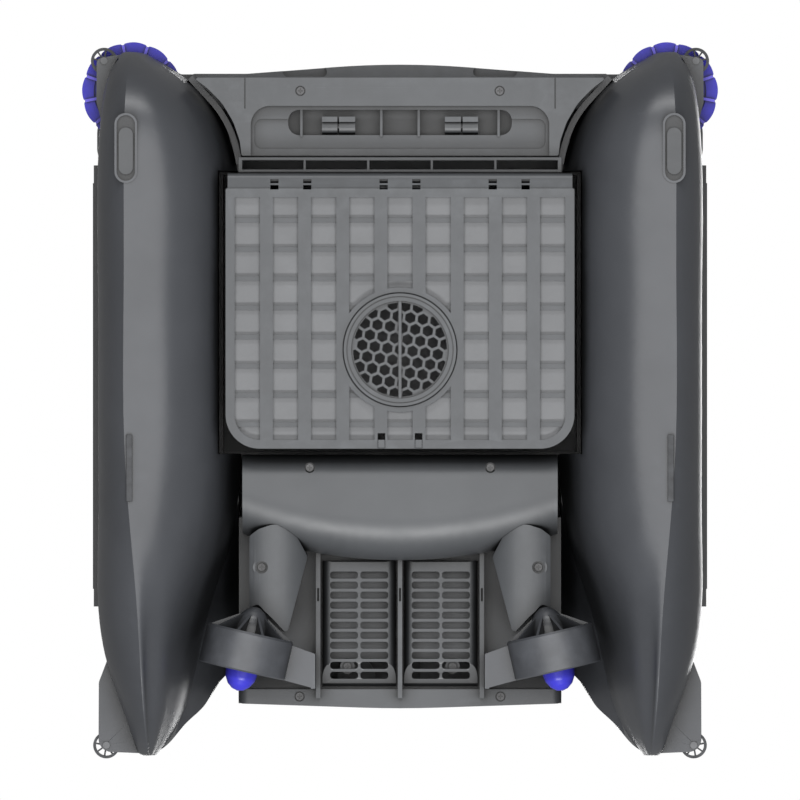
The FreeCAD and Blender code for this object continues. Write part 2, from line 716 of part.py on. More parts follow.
def thruster_duct():
    half = dim("duct_length") / 2
    outer = dim("duct_radius")
    bore = dim("duct_bore")
    hub = dim("stator_radius")
    ring = turned_about_duct([(-half, outer - 1.2), (-half + 1.5, outer), (half - 1, outer),
                              (half, outer - 1), (half, bore + 0.8), (half - 4, bore),
                              (-half + 4, bore), (-half, bore + 1.4)])
    dome = [(-31, 0), (-30.4, 3), (-28, 6.6), (-24, 9.8), (-19, 12), (-13, hub), (-3, hub)]
    pod = turned_about_duct(dome + [(-3, 10.5), (-14, 10.5), (-20, 9), (-22, 0)])
    vanes = []
    for k in range(10):
        vane = Part.Face(Part.makePolygon([along_duct(s) + Z_AXIS * r for s, r in
                                           ((-28, 4), (-13.4, bore + 1), (-4, bore + 1), (-4, hub - 0.6),
                                            (-12, hub - 0.6), (-25, 8), (-28, 4))]))
        vane.translate(DUCT_AXIS.cross(Z_AXIS) * -0.9)
        solid = vane.extrude(DUCT_AXIS.cross(Z_AXIS) * 1.8)
        solid.rotate(along_duct(0), DUCT_AXIS, 36 * k + 18)
        vanes.append(solid)
    bore_tool = turned_about_duct([(-22, 0), (-20, 9), (-14, 10.5), (-3, 10.5), (-2, 10.5), (-2, 0)])
    stay = prism([(-80, 164.4, 0), (-57.6, 172.4, 0), (-57.6, 196, 0), (-80, 190, 0)], 41, 44.4)
    post = block(-60.6, -57.6, 172.4, 196, 41, dim("bay_level"))
    inside = turned_about_duct([(-40, 0), (-40, outer - 1), (30, outer - 1), (30, 0)])
    bracket = stay.fuse(post).cut(inside)
    return ring.fuse([pod] + vanes + [bracket]).cut(bore_tool)


pair(shaped("ThrusterDuct", thruster_duct()), "thruster_duct")


def thruster_motor():
    can = turned_about_duct([(-19, 0), (-19, 8), (-14, 10.2), (-6, 10.2), (-6, 5), (-3, 5), (-3, 0)])
    return can


pair(shaped("ThrusterMotor", thruster_motor()), "thruster_motor")


def propeller():
    """Three twisted blades let into a hub on its shaft end, with a rounded spinner behind."""
    hub = turned_about_duct([(-2.6, 0), (-2.6, 2), (-1.6, 2), (-1.6, 9), (1, 11.2), (13, 11.2), (19, 10.2),
                             (23.5, 7.6), (26.4, 4), (27.4, 0)])
    blades = []
    for k in range(3):
        sections = []
        for radius, pitch, chord in ((9, 62, 12), (17, 42, 15), (dim("propeller_radius"), 30, 11)):
            half = chord / 2
            wire = Part.makePolygon([Vector(-half, -0.2, radius), Vector(0, -1.1, radius),
                                     Vector(half, -0.2, radius), Vector(half, 0.2, radius),
                                     Vector(0, 1.1, radius), Vector(-half, 0.2, radius),
                                     Vector(-half, -0.2, radius)])
            wire.rotate(Vector(), Z_AXIS, 90 - pitch)
            sections.append(wire)
        blade = Part.makeLoft(sections, True)
        blade.rotate(Vector(), Z_AXIS, dim("duct_yaw"))
        blade.translate(along_duct(4.5))
        blade.rotate(along_duct(0), DUCT_AXIS, 60 + 120 * k)
        blades.append(blade.cut(hub))
    return Part.makeCompound([hub] + blades)


pair(shaped("Propeller", propeller()), "propeller")


def fairing(inset, low):
    """Barrel-bottomed solid over the fairing's plan, with its walls moved inwards by the inset."""
    plan = [(-102.3 + inset, 92.4, 3), (-96 + inset, 87.6 + inset, 8), (-84, 83.6 + inset, 13),
            (-72 - inset, 89 + inset, 10), (-62.8 - inset, 106.4 + inset, 3), (-76.2 - inset, 157, 2),
            (-102.3 + inset, 157, 1)]
    top = dim("bay_level") - 0.2
    barrel = Part.makeCylinder(dim("fairing_radius") - inset, 90,
                               Vector(-dim("fairing_offset"), 75, dim("fairing_level")), Y_AXIS)
    upper = block(-110, -50, 75, 165, dim("fairing_level"), top)
    return prism(plan, low, top).common(barrel.fuse(upper))


def thruster_cover():
    """Barrel-shaped fairing from the ramp to the duct, for the thruster's leads and screw."""
    level = dim("fairing_screw_level")
    belly = round_lower_edges(belly_plan(-0.3, dim("belly_level"), 95), dim("belly_level"), 30, 15)
    post = Part.makeCylinder(6, dim("bay_level") - 0.2 - 47.5, Vector(-94, 113.6, 47.5))
    body = fairing(0, 40).cut([fairing(2.5, 40), belly]).fuse(post)
    recess = Part.makeCylinder(4.3, 20, Vector(-94, 113.6, level - 20))
    stem = Part.makeCylinder(1.4, 5, Vector(-94, 113.6, level))
    head_seat = Part.makeCylinder(3.3, 1.6, Vector(-94, 113.6, level))
    duct_room = turned_about_duct([(-34, 0), (-29.4, 6), (-26, 12), (-13, 31), (2, 31), (2, 0)])
    return body.cut([recess, stem, head_seat, duct_room])


pair(shaped("ThrusterCover", thruster_cover()), "thruster_cover")


# ---------------------------------------------------------------- paddle wheels and rollers

def paddle_wheel():
    """Twelve-lobed disc with a radial blade between each two lobes."""
    radius = dim("wheel_radius")
    level = dim("wheel_bottom")
    count = 12
    first = math.radians(-90 - 10.8)
    lobes = []
    step = 2 * math.pi / count

    def rim(angle, distance):
        return Vector(distance * math.cos(angle), distance * math.sin(angle), 0)

    for k in range(count):
        start = first + k * step + 0.035
        end = start + step - 0.07
        lobes.append(Part.Arc(rim(start, radius - 0.7), rim((start + end) / 2, radius), rim(end, radius - 0.7)))
        lobes.append(Part.Arc(rim(end, radius - 0.7), rim(end + 0.035, radius - 1.5),
                              rim(end + 0.07, radius - 0.7)))
    disc = Part.Face(wire_of(lobes)).extrude(Vector(0, 0, 4))
    dish = Part.makeCone(radius - 8, radius - 6, 1.6, Vector(0, 0, -0.001))
    disc = disc.cut(dish).fuse(Part.makeCylinder(14, 3, Vector(0, 0, 0)))
    disc.translate(Vector(0, 0, 1.2))
    hub = Part.makeCylinder(dim("wheel_hub"), dim("wheel_height"))
    blades = []
    for k in range(count):
        angle = math.degrees(first) + 30 * k
        blade = block(6, radius - 1.7, -dim("blade_thickness") / 2, dim("blade_thickness") / 2,
                      0, dim("wheel_height"))
        blade = blade.cut(block(10, radius - 7, -2, 2, 14, 30))
        blade.rotate(Vector(), Z_AXIS, angle)
        blades.append(blade)
    wheel = disc.fuse([hub] + blades).cut(
        Part.makeCylinder(dim("wheel_bore"), dim("wheel_height") - 2, Vector(0, 0, 3)))
    wheel.translate(Vector(-dim("wheel_offset"), -dim("wheel_forward"), level))
    return wheel


pair(shaped("PaddleWheel", paddle_wheel()), "paddle_wheel")
pair(cylinder("PaddleShaft", "wheel_bore", "pocket_top + 12 - wheel_bottom - 3.2",
              ("-wheel_offset", "-wheel_forward", "wheel_bottom + 3.2")), "paddle_shaft")

gear_case = cylinder("GearCase", 14, 14, ("-wheel_offset + 4", "-wheel_forward + 4", "pocket_top + 3.1"))
gear_bore = cylinder("GearBore", "wheel_bore + 0.1", 9.2,
                     ("-wheel_offset", "-wheel_forward", "pocket_top + 3"))
motor_can = cylinder("MotorCan", 10, 24, ("-wheel_offset + 8", "-wheel_forward + 8", "pocket_top + 17.1"))
pair(cut("PaddleMotor", fuse("MotorBody", gear_case, motor_can), gear_bore), "paddle_motor")


def guide_roller(name, at):
    """Small spoked roller with a tread groove, free on its pin."""
    radius = dim("roller_radius")
    height = dim("roller_height")
    tyre = Part.makeCylinder(radius, height).cut(Part.makeCylinder(radius - 1.9, height))
    groove = Part.makeTorus(radius + 0.4, 1, Vector(0, 0, height / 2))
    hub = Part.makeCylinder(3.2, height)
    spokes = []
    for k in range(8):
        spoke = block(2.4, radius - 1.6, -0.55, 0.55, 0.4, height - 0.4)
        spoke.rotate(Vector(), Z_AXIS, 45 * k + 10)
        spokes.append(spoke)
    bore = Part.makeCylinder(dim("pin_radius") + 0.05, height + 2, Vector(0, 0, -1))
    roller = tyre.fuse([hub] + spokes).cut([groove, bore])
    roller.translate(at)
    return shaped(name, roller)


FRONT_ROLLER = Vector(-dim("front_roller_offset"), -dim("front_roller_forward"), dim("roller_bottom"))
REAR_ROLLER = Vector(-dim("rear_roller_offset"), dim("rear_roller_back"), dim("rear_roller_bottom"))
pair(guide_roller("FrontRoller", FRONT_ROLLER), "front_roller")
pair(guide_roller("RearRoller", REAR_ROLLER), "rear_roller")


def bracket_holes(at, low):
    """Bores of the roller's pin through one bracket."""
    return Part.makeCylinder(dim("pin_radius"), 40, Vector(at.x, at.y, low - 1))


def front_bracket():
    """Plate under the front roller, fitted against the bow."""
    low = FRONT_ROLLER.z - 3.6
    arm = prism([(-206.6, -232.6, 4), (-186, -236, 0), (-186, -196, 0), (-203.6, -190.8, 1.2),
                 (-206.8, -203, 8)], low, low + 3)
    hull = hull_loft(-0.1, dim("parting_level") + 1)
    return arm.cut([bracket_holes(FRONT_ROLLER, low), hull])


def rear_bracket():
    """Plate under the rear roller, fitted against the tail."""
    low = REAR_ROLLER.z - 3.6
    arm = prism([(-199.3, 177, 0), (-205, 192, 8), (-205.2, 239.2, 9), (-172, 240.6, 0),
                 (-172, 200, 0)], low, low + 3)
    hull = hull_loft(-0.1, dim("parting_level") + 1)
    return arm.cut([bracket_holes(REAR_ROLLER, low), hull])


pair(shaped("FrontBracket", front_bracket()), "front_roller_bracket")
pair(shaped("RearBracket", rear_bracket()), "rear_roller_bracket")


def roller_pins():
    """Headed pins, pressed up through each bracket and its roller."""
    pins = []
    for at in (FRONT_ROLLER, REAR_ROLLER):
        for side in (1, -1):
            foot = Vector(side * at.x, at.y, at.z - 3.6)
            pin = Part.makeCylinder(dim("pin_radius"), dim("roller_height") + 4.4, foot)
            head = Part.makeCylinder(dim("pin_radius") + 0.7, 0.7, foot - Z_AXIS * 0.7)
            collar = Part.makeCylinder(3, 1, foot + Z_AXIS * (dim("roller_height") + 4))
            pins.append(pin.fuse([head, collar]))
    return Part.makeCompound(pins)


node(shaped("RollerPins", roller_pins()), "roller_pins")


# ---------------------------------------------------------------- debris basket

def window_centres():
    """Columns and rows of the windows in the bottom door."""
    columns = [dim("window_pitch_x") * k for k in range(-4, 5)]
    rows = [-131.9 + dim("window_pitch_y") * k for k in range(8)] + [23]
    return columns, rows


# Where the lugs of the tub hold the door's pin.
HINGE_STATIONS = (-85.2, -62.9, -11.1, 11.1, 62.9, 85.2)


def hinge_bore(clearance):
    return Part.makeCylinder(dim("hinge_pin_radius") + clearance, 250,
                             Vector(-125, -dim("hinge_forward"), dim("hinge_level")), X_AXIS)


def slotted(panel, along_x, first, last):
    """A panel with a row of upright slots along X or along Y."""
    slots = []
    for start in range(first, last, 14):
        if along_x:
            slots.append(block(start, start + 9, 0, 50, 66, 150))
        else:
            slots.append(block(-130, 130, start, start + 9, 66, 150))
    return panel.cut(slots)


def basket_tub():
    """Open-bottomed tub of moulded panels, with the mouth in front and lugs for the door's pin."""
    side = dim("basket_half_width") - 1.2
    wall = dim("basket_wall")
    front = -dim("basket_front")
    rear = dim("basket_rear") - 0.8
    corner = dim("basket_corner")
    low = dim("flap_level") + 8
    top = dim("tub_top")
    hinge = Vector(0, -dim("hinge_forward"), dim("hinge_level"))
    clear = hinge.z + dim("hinge_roll") + 0.6
    bend = rear - corner

    sill = block(-side, side, front, front + wall, clear, dim("mouth_bottom"))
    for x in HINGE_STATIONS:
        lug = Part.makeCylinder(2.7, 5.4, Vector(x - 2.7, hinge.y, hinge.z), X_AXIS)
        neck = block(x - 2.7, x + 2.7, hinge.y - 0.7, hinge.y + 2.7, hinge.z, clear)
        root = block(x - 2.7, x + 2.7, front, hinge.y + 2.7, clear, clear + 4)
        sill = sill.fuse([lug, neck, root])
    panels = [sill.cut(hinge_bore(0)), block(-side, side, front, front + wall, dim("mouth_top"), top),
              slotted(block(corner - side, side - corner, rear - wall, rear, low, top), True, -88, 85)]
    for x0, x1 in ((-side, -110), (110, side)):
        panels.append(block(x0, x1, front, front + wall, dim("mouth_bottom"), dim("mouth_top")))
    for x0 in (-side, side - wall):
        wall_panel = block(x0, x0 + wall, front + wall, bend, low, top)
        foot_gap = block(x0 - 1, x0 + wall + 1, front, hinge.y + 6, low - 1, clear)
        panels.append(slotted(wall_panel.cut(foot_gap), False, -136, -5))
    for x, turn in ((corner - side, 90), (corner - side, 135), (side - corner, 0), (side - corner, 45)):
        outer = Part.makeCylinder(corner, top - low, Vector(x, bend, low), Z_AXIS, 45)
        inner = Part.makeCylinder(corner - wall, top - low, Vector(x, bend, low), Z_AXIS, 45)
        arc = outer.cut(inner)
        arc.rotate(Vector(x, bend, 0), Z_AXIS, turn)
        panels.append(arc)
    return Part.makeCompound(panels)


node(shaped("BasketTub", basket_tub()), "basket_tub")
door_pin = cylinder("DoorPin", "hinge_pin_radius", 202, (-101, "-hinge_forward", "hinge_level"), X_AXIS)


def basket_lid():
    """Cover over the deck opening, dished to take the folded carrying handle."""
    low = dim("deck_top") + 0.2
    top = dim("lid_top")
    cover = prism(rectangle(-128, 128, -161, 43, 16), low, top - 2)
    crown = Part.makeLoft([wire_of(outline(rectangle(-128, 128, -161, 43, 16)), top - 2),
                           wire_of(outline(rectangle(-125, 125, -158, 40, 14)), top)], True)
    tray = prism(rectangle(-72, 72, -84, 2, 10), low + 1.8, top + 1)
    grip = prism(rectangle(-40, 40, -84, -66, 8), low + 1.8, top + 1)
    post = [block(side * 60 - 5, side * 60 + 5, -14, -2, low, low + 4.6) for side in (-1, 1)]
    pins = Part.makeCylinder(1.9, 140, Vector(-70, -8, dim("lid_top") - 1.6), X_AXIS)
    solid = cover.fuse(crown).cut([tray, grip]).fuse(post)
    return solid.cut(pins)


node(shaped("BasketLid", basket_lid()), "basket_lid")


def basket_handle():
    """Bail with round ears, folded flat into the lid's tray."""
    low = dim("lid_top") - 4.6
    level = dim("lid_top") - 1.6
    ears = [Part.makeCylinder(3.4, 5, Vector(x, -8, level), X_AXIS) for x in (-54.6, 49.6)]
    arms = [block(x, x + 5, -70, -8, level - 2.4, level + 2.4) for x in (-54.6, 49.6)]
    bar = prism(rectangle(-54.6, 54.6, -80, -66, 6), level - 2.4, level + 2.4)
    pins = [Part.makeCylinder(1.8, 16, Vector(x, -8, level), X_AXIS) for x in (-69, 53)]
    return ears[0].fuse([ears[1], bar] + arms + pins)


node(shaped("BasketHandle", basket_handle()), "basket_handle")


def door_outline(inset):
    side = dim("basket_half_width") - inset
    rear = dim("basket_rear") - inset
    corner = dim("basket_corner") - inset
    return [(-side, inset - 143.5, 1), (side, inset - 143.5, 1), (side, rear, corner),
            (-side, rear, corner)]


def bottom_door():
    """Grid door: low lengthwise bars, cross bars set back, clips round the hinge pin."""
    low = dim("flap_level")
    plate_body = prism(door_outline(0), low, low + 5)
    columns, rows = window_centres()
    half_x = dim("window_width") / 2
    half_y = dim("window_length") / 2
    inner = prism(door_outline(6), low - 1, low + 6)
    windows = []
    for y in rows:
        reach = 4.8 if y > 20 else half_y
        windows += [prism(rectangle(x - half_x, x + half_x, y - reach, y + reach, 1.2), low - 1, low + 6)
                    for x in columns]
    windows = Part.makeCompound(windows).common(inner)
    troughs = [block(x - half_x, x + half_x, -141, 27.5, low - 1, low + 1.4) for x in columns]
    troughs = Part.makeCompound(troughs).common(inner)
    seat = prism(door_outline(3.4), low + 3.4, low + 6)
    hole_at = Vector(0, -dim("filter_forward"), low - 1)
    hole = Part.makeCylinder(dim("filter_radius") + 0.8, 8, hole_at)
    collar = Part.makeCylinder(dim("filter_radius") + 4.2, 3.4, hole_at + Z_AXIS)
    latch_gaps = [block(x - 2.6, x + 2.6, 22.5, 32.7, low - 1, low + 6) for x in (-12.6, 12.6)]
    body = plate_body.cut([windows, troughs]).fuse(collar).cut([seat, hole] + latch_gaps)
    hinge = Vector(0, -dim("hinge_forward"), dim("hinge_level"))
    roll = dim("hinge_roll")
    width = dim("basket_half_width") - 1.4
    knuckle = Part.makeCylinder(roll, 2 * width, Vector(-width, hinge.y, hinge.z), X_AXIS)
    band = side_profile([(hinge.y - 0.6, hinge.z - roll + 0.04, 0), (-141.4, low, 1.5), (-138, low, 0),
                         (-138, low + 3.4, 0), (-140.6, low + 3.4, 0), (-144, low + 6.6, 2),
                         (hinge.y, hinge.z, 0)], -width, width)
    body = body.fuse([knuckle, band])
    gaps = [hinge_bore(0.06)]
    for x in HINGE_STATIONS:
        gaps.append(Part.makeCylinder(2.95, 6, Vector(x - 3, hinge.y, hinge.z), X_AXIS))
        gaps.append(block(x - 3, x + 3, hinge.y - 6, hinge.y + 3.4, hinge.z - 0.6, hinge.z + 6))
        gaps.append(block(x - 2.8, x + 2.8, hinge.y - 0.4, hinge.y + 2.3, hinge.z - 6, hinge.z))
        gaps.append(block(x - 2.8, x + 2.8, -145.8, -142.8, low - 1, low + 12))
    return body.cut(gaps)


node(shaped("BottomDoor", bottom_door()), "bottom_door")


def door_screen():
    """Fine screen film laid in the door's seat."""
    low = dim("flap_level") + 3.4
    film = prism(door_outline(3.6), low, low + 1)
    gaps = [block(x - 3, x + 3, 22, 34, low - 1, low + 2) for x in (-12.6, 12.6)]
    hole = Part.makeCylinder(dim("filter_radius") + 4.3, 4, Vector(0, -dim("filter_forward"), low - 1))
    return film.cut([hole] + gaps)


node(shaped("DoorScreen", door_screen()), "door_screen")


def door_latches():
    """Two spring tabs on one bar that hold the rear edge of the door."""
    low = dim("flap_level")
    tabs = [block(x - 2.2, x + 2.2, 27, 32.4, low, low + 4.8) for x in (-12.6, 12.6)]
    bar = block(-14.8, 14.8, 29.2, 32.4, low + 5.3, low + 7.6)
    necks = [block(x - 2.2, x + 2.2, 29.2, 32.4, low + 4.8, low + 5.3) for x in (-12.6, 12.6)]
    return bar.fuse(tabs + necks)


node(shaped("DoorLatches", door_latches()), "door_latches")


def filter_cap():
    """Round cap with a bar across, turned by hand to lift the fine filter out."""
    low = dim("flap_level") - 1
    at = Vector(0, -dim("filter_forward"), low)
    radius = dim("filter_radius")
    rim = dim("filter_rim")
    ring = Part.makeCylinder(radius, 5, at).cut(Part.makeCylinder(rim, 5, at))
    groove = Part.makeCylinder(radius - 1.8, 0.6, at).cut(Part.makeCylinder(radius - 2.6, 0.6, at))
    bar = block(-1, 1, at.y - rim - 0.5, at.y + rim + 0.5, low + 0.4, low + 5)
    return ring.cut(groove).fuse(bar)


node(shaped("FilterCap", filter_cap()), "filter_cap")


def filter_mesh():
    """Two half-round honeycomb screens, one each side of the cap's bar."""
    low = dim("flap_level") + 1
    at = Vector(0, -dim("filter_forward"), low)
    rim = dim("filter_rim") - 0.05
    pitch = dim("hex_pitch")
    disc = Part.makeCylinder(rim, 2.4, at)
    radius = dim("hex_across") / math.sqrt(3)
    holes = []
    turn = math.radians(7)
    for row in range(-5, 6):
        for column in range(-5, 6):
            u = pitch * (column + row / 2)
            w = pitch * row * math.sqrt(3) / 2
            x = u * math.cos(turn) - w * math.sin(turn)
            y = u * math.sin(turn) + w * math.cos(turn)
            if math.hypot(x, y) > rim - 1.6:
                continue
            angles = [turn + math.radians(30 + 60 * k) for k in range(7)]
            corners = [at + Vector(x + radius * math.cos(a), y + radius * math.sin(a), -1) for a in angles]
            holes.append(Part.Face(Part.makePolygon(corners)).extrude(Vector(0, 0, 5)))
    bar = block(-1.05, 1.05, at.y - rim, at.y + rim, low - 1, low + 5)
    inside = Part.makeCylinder(rim - 1.2, 10, at - Z_AXIS * 2)
    return disc.cut([Part.makeCompound(holes).common(inside), bar])


node(shaped("FilterMesh", filter_mesh()), "filter_mesh")


# ---------------------------------------------------------------- basket's non-return flap

return_flap = box("ReturnFlap", (-107, 107), ("-basket_front + basket_wall + 0.6", "-basket_front + basket_wall + 2.4"),
                  ("mouth_bottom + 1", "mouth_top + 4"))
flap_roll = cylinder("FlapRoll", 2.6, 214, (-107, "-basket_front + basket_wall + 3", "mouth_top + 5"), X_AXIS)
flap_bore = cylinder("FlapBore", 1.55, 240, (-120, "-basket_front + basket_wall + 3", "mouth_top + 5"), X_AXIS)
node(cut("ReturnFlapCut", fuse("ReturnFlapBody", return_flap, flap_roll), flap_bore), "return_flap")
return_pin = cylinder("ReturnFlapPin", 1.5, "2 * (basket_half_width - 1.2 - basket_wall)",
                      ("-(basket_half_width - 1.2 - basket_wall)", "-basket_front + basket_wall + 3",
                       "mouth_top + 5"), X_AXIS)
node(compound("BasketPins", door_pin, return_pin), "basket_hinge_pins")


# ---------------------------------------------------------------- works inside, controls, fasteners

battery_cells = box("BatteryCells", (-84, 84), ("well_rear + 6", 80), (57, 112))
battery_tray = box("BatteryTray", (-60, 60), ("well_rear + 18", 70), ("belly_level + hull_wall", 57))
node(fuse("BatteryPack", battery_cells, battery_tray), "battery_pack")
control_base = box("ControlBase", (-70, 70), (118, 178), (104, 105.6))
control_chips = [box(f"Chip{k}", (-50 + 36 * k, -30 + 36 * k), (130, 150), (105.6, 109 + k)) for k in range(3)]
standoffs = [box(f"Standoff{k}", (x, x + 6), (y, y + 6), ("bay_level + hull_wall", 104))
             for k, (x, y) in enumerate(((-68, 120), (62, 120), (-68, 170), (62, 170)))]
node(fuse("ControlBoardBody", control_base, *control_chips, *standoffs), "control_board")

button_stem = cylinder("ButtonStem", 4, 5, (-30, 190, "deck_top - 10.5"))
button_head = cylinder("ButtonHead", 9, 6, (-30, 190, "deck_top - 5.5"))
node(fuse("PowerButtonBody", button_stem, button_head), "power_button")
cap_lid = box("CapLid", (18.5, 45.5), (184.6, 196.6), ("deck_top - 2.4", "deck_top + 0.2"))
cap_pin_barrel = cylinder("CapBarrel", 1.3, 27, (18.5, 184.6, "deck_top - 1.1"), X_AXIS)
cap_bore = cylinder("CapBore", 0.75, 40, (10, 184.6, "deck_top - 1.1"), X_AXIS)
node(cut("ChargeCapCut", fuse("ChargeCapBody", cap_lid, cap_pin_barrel), cap_bore), "charge_cap")
cap_pin = cylinder("CapPin", 0.7, 28, (18, 184.6, "deck_top - 1.1"), X_AXIS)
socket_body = box("SocketBody", (24, 40), (186.5, 195.5), ("deck_top - 14", "deck_top - 6"))
socket_bore = cylinder("SocketBore", 3, 6.5, (32, 191, "deck_top - 12"))
charge_socket = cut("ChargeSocket", socket_body, socket_bore)
node(compound("SocketAndPin", charge_socket, cap_pin), "charge_socket")


def status_lens():
    """Bow-shaped light window on the crown of the rear deck."""
    return prism(rectangle(-14, 10, 187, 193, 2.9), dim("deck_top"), dim("deck_top") + 0.8)


node(shaped("StatusLens", status_lens()), "status_lens")


def screw(x, y, level):
    """Pan-head screw seen from below, with a cross recess, let into its seat."""
    head = Part.makeCylinder(2.6, 1.4, Vector(x, y, level + 0.2))
    head = head.fuse(Part.makeCylinder(1.35, 1.2, Vector(x, y, level + 1.6)))
    cross = [block(x - 1.7, x + 1.7, y - 0.4, y + 0.4, level, level + 0.9),
             block(x - 0.4, x + 0.4, y - 1.7, y + 1.7, level, level + 0.9)]
    return head.cut(cross)


def hull_screws():
    return Part.makeCompound([screw(side * x, y, level) for x, y, level in SCREWS for side in (-1, 1)])


node(shaped("HullScrews", hull_screws()), "hull_screws")


# ---------------------------------------------------------------- checks and files

document.recompute()
for thing in document.Objects:
    if {"Invalid", "Error"} & set(thing.State):
        raise RuntimeError(f"{thing.Name} failed: {thing.State}")

unsound = [thing.Label for thing in NODES
           if thing.Shape.isNull() or not thing.Shape.isValid() or thing.Shape.Volume < 1]
if unsound:
    raise RuntimeError(f"no sound shape: {unsound}")

os.makedirs("parts", exist_ok=True)
overall = FreeCAD.BoundBox()
for thing in NODES:
    shape = thing.Shape
    shape.exportStep(f"parts/{thing.Label}.step")
    overall.add(shape.optimalBoundingBox())
    print(f"{thing.Label:24s} {shape.Volume / 1000:9.2f} cm3  {len(shape.Solids)} solids")
print(len(NODES), "nodes", overall)
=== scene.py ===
import json
import math

import bpy
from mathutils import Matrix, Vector


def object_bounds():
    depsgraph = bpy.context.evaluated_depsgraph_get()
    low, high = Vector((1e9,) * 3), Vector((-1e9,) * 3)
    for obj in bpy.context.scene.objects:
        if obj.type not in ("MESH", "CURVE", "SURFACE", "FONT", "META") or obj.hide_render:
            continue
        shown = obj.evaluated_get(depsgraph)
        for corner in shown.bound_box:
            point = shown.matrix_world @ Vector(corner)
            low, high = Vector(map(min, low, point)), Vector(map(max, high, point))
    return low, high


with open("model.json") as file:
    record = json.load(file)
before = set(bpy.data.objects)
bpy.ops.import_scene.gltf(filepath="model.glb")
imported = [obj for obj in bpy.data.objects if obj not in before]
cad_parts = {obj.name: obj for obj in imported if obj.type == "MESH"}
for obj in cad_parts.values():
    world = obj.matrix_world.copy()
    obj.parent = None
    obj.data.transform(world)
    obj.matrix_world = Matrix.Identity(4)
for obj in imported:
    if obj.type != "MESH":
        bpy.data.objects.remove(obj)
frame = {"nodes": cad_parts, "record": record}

NODES = frame["nodes"]
CAD_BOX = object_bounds()
MM = 0.001
SLOT_OF = {part["node"]: part["material_slot"] for part in frame["record"]["subparts"]}


# ---------------------------------------------------------------- materials

class Recipe:
    """Small helper that adds and links the nodes of one material."""

    def __init__(self, name):
        self.material = bpy.data.materials.new(name)
        self.material.use_nodes = True
        self.tree = self.material.node_tree
        self.shader = self.tree.nodes["Principled BSDF"]
        self.place = self.add("ShaderNodeTexCoord").outputs["Object"]

    def add(self, kind, **settings):
        node = self.tree.nodes.new(kind)
        for name, value in settings.items():
            setattr(node, name, value)
        return node

    def link(self, source, target):
        self.tree.links.new(source, target)

    def noise(self, scale, detail=4.0, roughness=0.55):
        node = self.add("ShaderNodeTexNoise")
        node.inputs["Scale"].default_value = scale
        node.inputs["Detail"].default_value = detail
        node.inputs["Roughness"].default_value = roughness
        self.link(self.place, node.inputs["Vector"])
        return node.outputs["Fac"]

    def ramp(self, source, stops):
        node = self.add("ShaderNodeValToRGB")
        elements = node.color_ramp.elements
        while len(elements) < len(stops):
            elements.new(0.5)
        for element, (position, colour) in zip(elements, stops):
            element.position = position
            element.color = (*colour, 1.0)
        self.link(source, node.inputs["Fac"])
        return node.outputs["Color"]

    def spread(self, source, low, high):
        node = self.add("ShaderNodeMapRange")
        node.inputs["To Min"].default_value = low
        node.inputs["To Max"].default_value = high
        self.link(source, node.inputs["Value"])
        return node.outputs["Result"]

    def mix(self, factor, first, second):
        node = self.add("ShaderNodeMix", data_type="RGBA")
        self.link(factor, node.inputs["Factor"])
        for socket, value in ((node.inputs["A"], first), (node.inputs["B"], second)):
            if isinstance(value, tuple):
                socket.default_value = (*value, 1.0)
            else:
                self.link(value, socket)
        return node.outputs["Result"]

    def bump(self, heights):
        """Chain of bump nodes from (height, strength, distance in metres)."""
        normal = None
        for height, strength, distance in heights:
            node = self.add("ShaderNodeBump")
            node.inputs["Strength"].default_value = strength
            node.inputs["Distance"].default_value = distance
            self.link(height, node.inputs["Height"])
            if normal:
                self.link(normal, node.inputs["Normal"])
            normal = node.outputs["Normal"]
        self.link(normal, self.shader.inputs["Normal"])


def shade(colour, factor):
    return tuple(channel * factor for channel in colour)


def edge_wear(recipe, base, light, amount):
    """Convex edges are rubbed a little lighter, in patches."""
    point = recipe.add("ShaderNodeNewGeometry").outputs["Pointiness"]
    edges = recipe.ramp(point, [(0.51, (0, 0, 0)), (0.58, (1, 1, 1))])
    patches = recipe.ramp(recipe.noise(90), [(0.40, (0, 0, 0)), (0.75, (amount,) * 3)])
    both = recipe.mix(edges, (0.0, 0.0, 0.0), patches)
    return recipe.mix(both, base, light)


# Painted shade, pass by pass: reach in metres and brightness ramp, narrow gaps first, then the
# deep bays of the hull.
PAINTED_SHADE_REACHES = (
    (0.012, [(0.42, (0.22, 0.22, 0.22)), (0.97, (1.0, 1.0, 1.0))]),
    (0.075, [(0.30, (0.35, 0.35, 0.35)), (0.90, (1.0, 1.0, 1.0))]),
)


def painted_crevice_shade(recipe, base):
    """Painted shade: the colour is darkened where the surface is shut in, in narrow gaps and deep
    bays.
    """
    for reach, stops in PAINTED_SHADE_REACHES:
        shut = recipe.add("ShaderNodeAmbientOcclusion", samples=6)
        shut.inputs["Distance"].default_value = reach
        product = recipe.add("ShaderNodeMix", data_type="RGBA", blend_type="MULTIPLY")
        product.inputs["Factor"].default_value = 1.0
        recipe.link(base, product.inputs["A"])
        recipe.link(recipe.ramp(shut.outputs["AO"], stops), product.inputs["B"])
        base = product.outputs["Result"]
    return base


GRAIN_DEPTH = 0.00003        # metres, of the spark-eroded grain
RIB_HIGHLIGHT_FADE = 0.0004            # metres over which the ribs fade into their painted highlight colour
